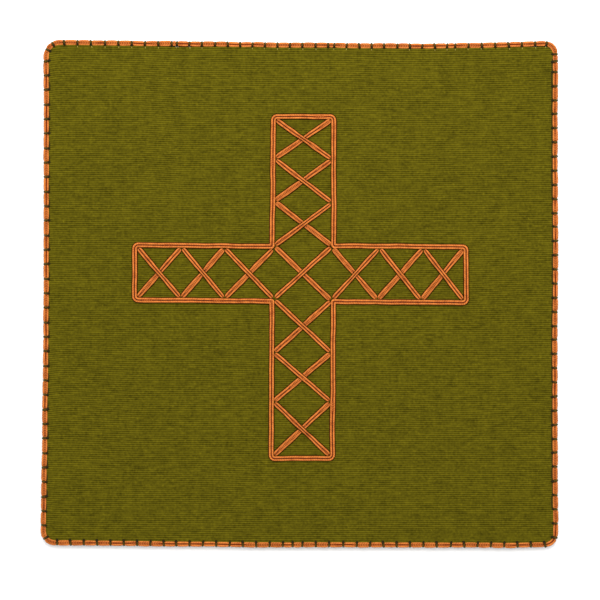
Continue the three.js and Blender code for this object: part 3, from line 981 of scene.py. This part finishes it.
def path_mesh(name, paths, closed):
    """Lines as the edges of one mesh, with the share of the full size and the slackness at each point."""
    verts, edges, sizes, slacks = [], [], [], []
    for points, size, slack in paths:
        first, count = len(verts), len(points)
        verts += [tuple(point) for point in points]
        edges += [(first + step, first + step + 1) for step in range(count - 1)]
        if closed:
            edges.append((first + count - 1, first))
        sizes += list(size)
        slacks += [slack] * count
    mesh = bpy.data.meshes.new(name)
    mesh.from_pydata(verts, edges, [])
    store(mesh, "size", sizes)
    store(mesh, "slack", slacks)
    return mesh


def sweep_braid(name, paths, closed, settings, nodes):
    """A finished piece of braid along some lines."""
    material = bpy.data.materials.get("orange_braid") or braid_material(settings)
    tree = bpy.data.node_groups.get("Braid Sweep") or braid_tree(material)
    inputs = {"Width": settings.width, "Height": settings.height, "Thread Pitch": settings.thread_pitch,
              "Thread Relief": settings.thread_relief, "Sway": settings.sway, **SWEEPS[name]}
    finish_piece(grown(link(name, path_mesh(name, paths, closed)), tree, inputs), nodes)


def swelling(path, places, reach):
    """A smooth hump along a path round each of some places, added up."""
    gaps = [np.linalg.norm(path - place, axis=1) for place in places]
    return sum(np.exp(-((gap / reach) ** 2)) for gap in gaps)


class BURSE_OT_edge_braid(bpy.types.Operator):
    """Braid along the rim of the face, pinched by its whip stitches"""
    bl_idname = "burse.edge_braid"
    bl_label = "Edge Braid"

    def execute(self, context):
        path = edge_path()
        pinched = path[sum(whip_places(path).values(), [])]
        size = RIM_FULLNESS - PINCH * swelling(path, pinched, PINCH_REACH)
        paths = [(path, size, SLACKNESS["rim"])]
        sweep_braid("rim_braid", paths, True, context.scene.burse_braid, ["edge_braid"])
        return {"FINISHED"}


class BURSE_OT_cross_outline(bpy.types.Operator):
    """Braid that outlines the cross"""
    bl_idname = "burse.cross_outline"
    bl_label = "Cross Outline"

    def execute(self, context):
        loop = cross_loop()
        path = even_steps(soften(loop, INNER_CORNER_RADIUS), OUTLINE_STEP)
        size = 1 + CORNER_FULLNESS * swelling(path, np.array(sharp_points(loop)), CORNER_REACH)
        paths = [(path, size, SLACKNESS["cross"])]
        sweep_braid("cross_braid", paths, True, context.scene.burse_braid, ["cross_outline"])
        return {"FINISHED"}


def bar_path(node):
    """A lattice bar: its line, raised over its partner, its share of the full size, and how slack it is."""
    stem, way = node.rsplit("_", 1)
    partner = f"{stem}_{'rising' if way == 'falling' else 'falling'}"
    (first, last), (other_first, other_last) = bar_axis(node), bar_axis(partner)
    heading = (last - first) / np.linalg.norm(last - first)
    first, last = first - heading * BAR_TIP_REACH, last + heading * BAR_TIP_REACH
    along, other = last - first, other_last - other_first
    gap = other_first - first
    length = float(np.linalg.norm(along))
    meets = (gap[0] * other[1] - gap[1] * other[0]) / (along[0] * other[1] - along[1] * other[0]) * length
    marks = np.linspace(0, length, round(length / PATH_STEP) + 1)
    reach = np.clip((CROSSING_LENGTH - np.abs(marks - meets)) / (CROSSING_LENGTH - CROSSING_FLAT), 0, 1)
    raised = reach * reach * (3 - 2 * reach)
    on_top = node in TOP_BARS
    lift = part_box(node)[1].z - CROSS_HIGH.z if on_top else 0.0
    from_tip = np.clip(np.minimum(marks, length - marks) / BAR_TIP_LENGTH, 0, 1)
    size = BAR_TIP_SHARE + (1 - BAR_TIP_SHARE) * np.sqrt(np.clip(1 - (1 - from_tip) ** 2, 0, 1))
    size *= 1 - CROSSING_PINCH * raised
    plan = first + np.outer(marks / length, along)
    slack = SLACKNESS["upper_bar" if on_top else "lower_bar"]
    return np.column_stack([plan, BRAID_SEAT + lift * raised]), size, slack


class BURSE_OT_lattice_bars(bpy.types.Operator):
    """Lengths of braid that fill the cross with crossed bars"""
    bl_idname = "burse.lattice_bars"
    bl_label = "Lattice Bars"

    def execute(self, context):
        paths = [bar_path(node) for node in LATTICE_NODES]
        sweep_braid("lattice_braid", paths, False, context.scene.burse_braid, LATTICE_NODES)
        return {"FINISHED"}


# Stitches


def stitch_tree():
    """A tree that sets a bent length of thread on each point of a mesh."""
    tree, given = new_tree("Stitches", {
        **dict.fromkeys(BENDS, "Vector"),
        "Thickness": "Float", "Sway": "Float", "Seed": "Int", "Material": "Material"})
    thread = add(tree, "GeometryNodeCurvePrimitiveBezierSegment", {
        "Resolution": THREAD_STEPS, **{bend: given[bend] for bend in BENDS}}).outputs[0]
    thread = keep(tree, thread, "along", spline_place(tree, "Length"))
    ring = add(tree, "GeometryNodeCurvePrimitiveCircle", {
        "Resolution": THREAD_SIDES, "Radius": product(tree, given["Thickness"], 0.5)}).outputs[0]
    ring = keep(tree, ring, "around", spline_place(tree, "Factor"))
    stitch = add(tree, "GeometryNodeCurveToMesh", {
        "Curve": thread, "Profile Curve": ring, "Fill Caps": True}).outputs[0]

    def chance(low, high):
        return add(tree, "FunctionNodeRandomValue", {2: low, 3: high, "Seed": given["Seed"]},
                   data_type="FLOAT").outputs[1]

    sway = chance(product(tree, given["Sway"], -1.0), given["Sway"])
    angle = add(tree, "ShaderNodeCombineXYZ", {2: calc(tree, "ADD", read(tree, "turn"), sway)}).outputs[0]
    rotation = add(tree, "FunctionNodeEulerToRotation", {0: angle}).outputs[0]
    placed = add(tree, "GeometryNodeInstanceOnPoints", {
        "Points": given["Geometry"], "Instance": stitch, "Rotation": rotation,
        "Scale": chance(*THREAD_SIZES)}).outputs[0]
    return end_tree(tree, placed, given["Material"])


def place_stitches(name, points, angles, slot, line, thickness, sway, material):
    """A finished piece of stitches at some points, each a bent line turned about the vertical."""
    mesh = bpy.data.meshes.new(name)
    mesh.from_pydata([tuple(point) for point in points], [], [])
    store(mesh, "turn", angles)
    tree = bpy.data.node_groups.get("Stitches") or stitch_tree()
    seed = bpy.context.scene.burse_stitches.seed
    inputs = {
        **dict(zip(BENDS, line)), "Thickness": thickness, "Sway": sway, "Seed": seed, "Material": material}
    finish_piece(grown(link(name, mesh), tree, inputs))


def sew_rim(name, path, places, *thread):
    """A finished piece of threads at some places of the rim's path."""
    place_stitches(name, path[places], headings(path, places), "face_cloth", *thread)


def ridge_line(context):
    """How far the line of a ridge lies from the middle of the braid."""
    return RIDGE_SHARE * context.scene.burse_braid.width


class BURSE_OT_whip_stitches(bpy.types.Operator):
    """Dark green thread from the cloth over the rim braid"""
    bl_idname = "burse.whip_stitches"
    bl_label = "Whip Stitches"

    def execute(self, context):
        settings = context.scene.burse_stitches
        path = edge_path()
        ridge, thread = ridge_line(context), settings.whip_thickness
        material = thread_material("green_thread", settings.whip_colour, WHIP_TWIST, WHIP_DARK_END)
        for side, places in whip_places(path).items():
            line = (
                (0.0, ridge + WHIP_REACH[side], FACE_RISE - THREAD_SUNK),
                (0.0, -ridge, FACE_RISE + thread * WHIP_ARCH),
                (0.0, -ridge - thread * WHIP_WRAP, -thread * WHIP_WRAP),
                (0.0, ridge, -thread * WHIP_TUCK))
            sew_rim(f"whip_stitches_{side}", path, places, line, thread, WHIP_SWAY, material)
        return {"FINISHED"}


class BURSE_OT_carried_threads(bpy.types.Operator):
    """Lengths of the whipping thread that lie in the crease between cloth and braid, darkened with the crease's
    painted shade
    """
    bl_idname = "burse.carried_threads"
    bl_label = "Carried Threads"

    def execute(self, context):
        settings = context.scene.burse_stitches
        path = edge_path()
        sides = whip_places(path)
        # The whip colour darkened as painted shade of the crease
        colour = [channel * CARRIED_PAINTED_SHADE for channel in settings.whip_colour]
        material = thread_material("carried_thread", colour, WHIP_TWIST, THREAD_DARK_END)
        crease = ridge_line(context) + CARRIED_CREASE
        for side, (first, last) in CARRIED_THREADS.items():
            beside = [place for place in sides[side] if abs(path[place, 1]) < CARRIED_REACH]
            bend = CARRIED_BEND * (last - first)
            line = (
                (first, crease - CARRIED_TUCK, FACE_RISE - CARRIED_SINK),
                (first + bend, crease + CARRIED_LEAN, FACE_RISE + CARRIED_RISE),
                (last - bend, crease + CARRIED_LEAN, FACE_RISE + CARRIED_RISE),
                (last, crease - CARRIED_TUCK, FACE_RISE - CARRIED_SINK))
            sew_rim(f"carried_thread_{side}", path, beside, line, CARRIED_THICKNESS, CARRIED_SWAY, material)
        return {"FINISHED"}


class BURSE_OT_pulled_threads(bpy.types.Operator):
    """Paler threads of the cloth that the whip stitches pull up at the top"""
    bl_idname = "burse.pulled_threads"
    bl_label = "Pulled Threads"

    def execute(self, context):
        settings = context.scene.burse_stitches
        path = edge_path()
        places = whip_places(path)["top"]
        chance = np.random.default_rng(settings.seed).uniform(size=len(places))
        marked = [place for place, luck in zip(places, chance) if luck < PULLED_SHARE]
        start, end = (ridge_line(context) + reach for reach in (PULLED_FROM, PULLED_TO))
        material = thread_material("pale_thread", settings.pulled_colour, PULLED_TWIST, THREAD_DARK_END)
        line = (
            (0.0, start, FACE_RISE - PULLED_SINK),
            (0.0, start + PULLED_LEAN, FACE_RISE + PULLED_RISE),
            (0.0, end - PULLED_LEAN, FACE_RISE + PULLED_LOW),
            (0.0, end, FACE_RISE - THREAD_SUNK))
        thickness = settings.groove_thickness * PULLED_THICKNESS
        sew_rim("pulled_threads", path, marked, line, thickness, PULLED_SWAY, material)
        return {"FINISHED"}


class BURSE_OT_groove_stitches(bpy.types.Operator):
    """Red-brown thread down the groove of the cross braid"""
    bl_idname = "burse.groove_stitches"
    bl_label = "Groove Stitches"

    def execute(self, context):
        settings = context.scene.burse_stitches
        outline = even_steps(soften(cross_loop(), INNER_CORNER_RADIUS), PATH_STEP)
        step = round(settings.groove_pitch / PATH_STEP)
        marks = np.arange(0, len(outline), step)
        points, angles = list(outline[marks]), list(headings(outline, marks))
        for node in LATTICE_NODES:
            bar = bar_path(node)[0]
            for mark in range(step, len(bar) - step // 2, step):
                ahead = bar[mark + 1] - bar[mark - 1]
                points.append(bar[mark])
                angles.append(math.atan2(ahead[1], ahead[0]))
        floor = GROOVE_FLOOR * (CROSS_HIGH.z - CROSS_LOW.z)
        arch = floor + GROOVE_ARCH
        reach = GROOVE_REACH * settings.groove_pitch
        lean = reach * GROOVE_LEAN
        material = thread_material("brown_thread", settings.groove_colour, GROOVE_TWIST, THREAD_DARK_END)
        line = ((-reach, 0.0, floor), (-lean, 0.0, arch), (lean, 0.0, arch), (reach, 0.0, floor))
        place_stitches("groove_stitches", points, angles, "braid", line,
                       settings.groove_thickness, GROOVE_SWAY, material)
        return {"FINISHED"}


# Gusset


def gusset_route():
    """Line round three sides of the back board, the way inward from it, and how near a corner it is."""
    loop = level_loop("back_panel", BACK_LOW.z + BOARD_ROUND)
    path = even_steps([(point.x, point.y, 0.0) for point in loop], GUSSET_STEP)
    ahead = np.roll(path, -1, axis=0) - np.roll(path, 1, axis=0)
    ahead /= np.linalg.norm(ahead, axis=1)[:, None]
    inward = np.column_stack([-ahead[:, 1], ahead[:, 0]])
    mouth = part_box("pocket_gusset")[0].y
    open_side = path[:, 1] < mouth
    start = int(np.argmax(open_side & ~np.roll(open_side, -1))) + 1
    path, inward = np.roll(path, -start, axis=0), np.roll(inward, -start, axis=0)
    stretch = int(np.argmax(path[1:, 1] < mouth)) + 1
    path, inward = path[:stretch], inward[:stretch]
    turn = np.abs(np.cross(inward, np.roll(inward, -CORNER_LOOK, axis=0)))
    corner = np.convolve(turn, np.ones(CORNER_SPREAD) / CORNER_SPREAD, "same") / turn.max()
    return path[:, :2], inward, np.minimum(1.0, corner * CORNER_GAIN)


class BURSE_OT_gusset(bpy.types.Operator):
    """Folded strip of cloth between the boards on three sides"""
    bl_idname = "burse.gusset"
    bl_label = "Pocket Gusset"

    def execute(self, context):
        settings = context.scene.burse_cloth
        path, inward, corner = gusset_route()
        steps = np.arange(len(path))
        ripple = sum(height * np.sin(steps * rate + start) for height, rate, start in RIPPLES)
        depth = GUSSET_DEPTH * (1 - CORNER_TAKE_UP * corner) * (1 + ripple)
        fold = np.sin(np.linspace(0, math.pi, GUSSET_ROWS)) ** GUSSET_FOLD
        outer = GUSSET_INSET + depth[:, None] * fold
        inset = np.hstack([outer, outer[:, ::-1] + GUSSET_THICKNESS])
        levels = np.linspace(FRONT_LOW.z - BED, BACK_HIGH.z + BED, GUSSET_ROWS)
        levels = np.tile(np.concatenate([levels, levels[::-1]]), (len(path), 1))
        plan = path[:, None, :] + inward[:, None, :] * inset[:, :, None]
        verts = np.dstack([plan, levels]).reshape(-1, 3)
        size = 2 * GUSSET_ROWS
        index = np.arange(len(verts)).reshape(-1, size)
        faces = [index[0, ::-1].tolist(), index[-1].tolist(), *band(index[:-1], index[1:]).tolist()]
        mesh = bpy.data.meshes.new("gusset_cloth")
        mesh.from_pydata(verts.tolist(), [], faces)
        shape = bmesh.new()
        shape.from_mesh(mesh)
        bmesh.ops.recalc_face_normals(shape, faces=shape.faces)
        shape.to_mesh(mesh)
        shape.free()
        store(mesh, "rib", np.repeat(steps * GUSSET_STEP / settings.rib_pitch, size))
        obj = link("gusset_cloth", mesh)
        mesh.materials.append(cloth_material(settings, "gusset_cloth"))
        finish_piece(obj, ["pocket_gusset"])
        return {"FINISHED"}


# Stage


class BURSE_OT_stage(bpy.types.Operator):
    """Pale surface, soft light from the head of the face, and the camera above"""
    bl_idname = "burse.stage"
    bl_label = "Stage"

    def execute(self, context):
        settings = context.scene.burse_stage
        mesh = bpy.data.meshes.new("surface")
        corners = ((-1, -1), (1, -1), (1, 1), (-1, 1))
        mesh.from_pydata([(x * SURFACE_REACH, y * SURFACE_REACH, 0) for x, y in corners], [], [(0, 1, 2, 3)])
        mesh.materials.append(floor_material(settings))
        link("surface", mesh)

        world = bpy.data.worlds.new("soft_sky")
        world.use_nodes = True
        background = world.node_tree.nodes["Background"]
        background.inputs["Color"].default_value = (1.0, 1.0, 1.0, 1.0)
        background.inputs["Strength"].default_value = SKY_STRENGTH
        context.scene.world = world
        for light in LIGHTS:
            self.add_light(context, **light)

        height = settings.camera_height - FRONT_HIGH.z
        data = bpy.data.cameras.new("camera_above")
        data.lens = data.sensor_width * height / settings.view_width
        camera = bpy.data.objects.new("camera_above", data)
        camera.location = (*CAMERA_PLACE, settings.camera_height)
        context.scene.collection.objects.link(camera)
        context.scene.camera = camera
        context.scene.view_settings.view_transform = "Standard"
        return {"FINISHED"}

    def add_light(self, context, name, place, size, power):
        """A square soft light that points at the case."""
        data = bpy.data.lights.new(name, "AREA")
        data.energy, data.size = power, size
        lamp = bpy.data.objects.new(name, data)
        lamp.location = place
        lamp.rotation_euler = Vector(place).to_track_quat("Z", "Y").to_euler()
        context.scene.collection.objects.link(lamp)


# Panel and registration

OPERATORS = (
    BURSE_OT_stage, BURSE_OT_back_cover, BURSE_OT_gusset, BURSE_OT_face_cover, BURSE_OT_edge_braid,
    BURSE_OT_cross_outline, BURSE_OT_lattice_bars, BURSE_OT_whip_stitches, BURSE_OT_carried_threads,
    BURSE_OT_pulled_threads, BURSE_OT_groove_stitches,
)


class BURSE_PT_pieces(bpy.types.Panel):
    """Sizes, colours and pieces of the burse"""
    bl_label = "Corporal Burse"
    bl_idname = "BURSE_PT_pieces"
    bl_space_type = "VIEW_3D"
    bl_region_type = "UI"
    bl_category = "Burse"

    def draw(self, context):
        for group in (context.scene.burse_cloth, context.scene.burse_braid,
                      context.scene.burse_stitches, context.scene.burse_stage):
            box = self.layout.box()
            for name in group.__annotations__:
                box.prop(group, name)
        for operator in OPERATORS:
            self.layout.operator(operator.bl_idname)


SETTINGS = (
    ("burse_cloth", ClothSettings), ("burse_braid", BraidSettings),
    ("burse_stitches", StitchSettings), ("burse_stage", StageSettings),
)


def register():
    for name, group in SETTINGS:
        bpy.utils.register_class(group)
        setattr(bpy.types.Scene, name, bpy.props.PointerProperty(type=group))
    for kind in (*OPERATORS, BURSE_PT_pieces):
        bpy.utils.register_class(kind)


def unregister():
    for kind in reversed((*OPERATORS, BURSE_PT_pieces)):
        bpy.utils.unregister_class(kind)
    for name, group in reversed(SETTINGS):
        delattr(bpy.types.Scene, name)
        bpy.utils.unregister_class(group)


def main():
    register()
    for operator in OPERATORS:
        family, name = operator.bl_idname.split(".")
        getattr(getattr(bpy.ops, family), name)()


if __name__ == "__main__":
    main()
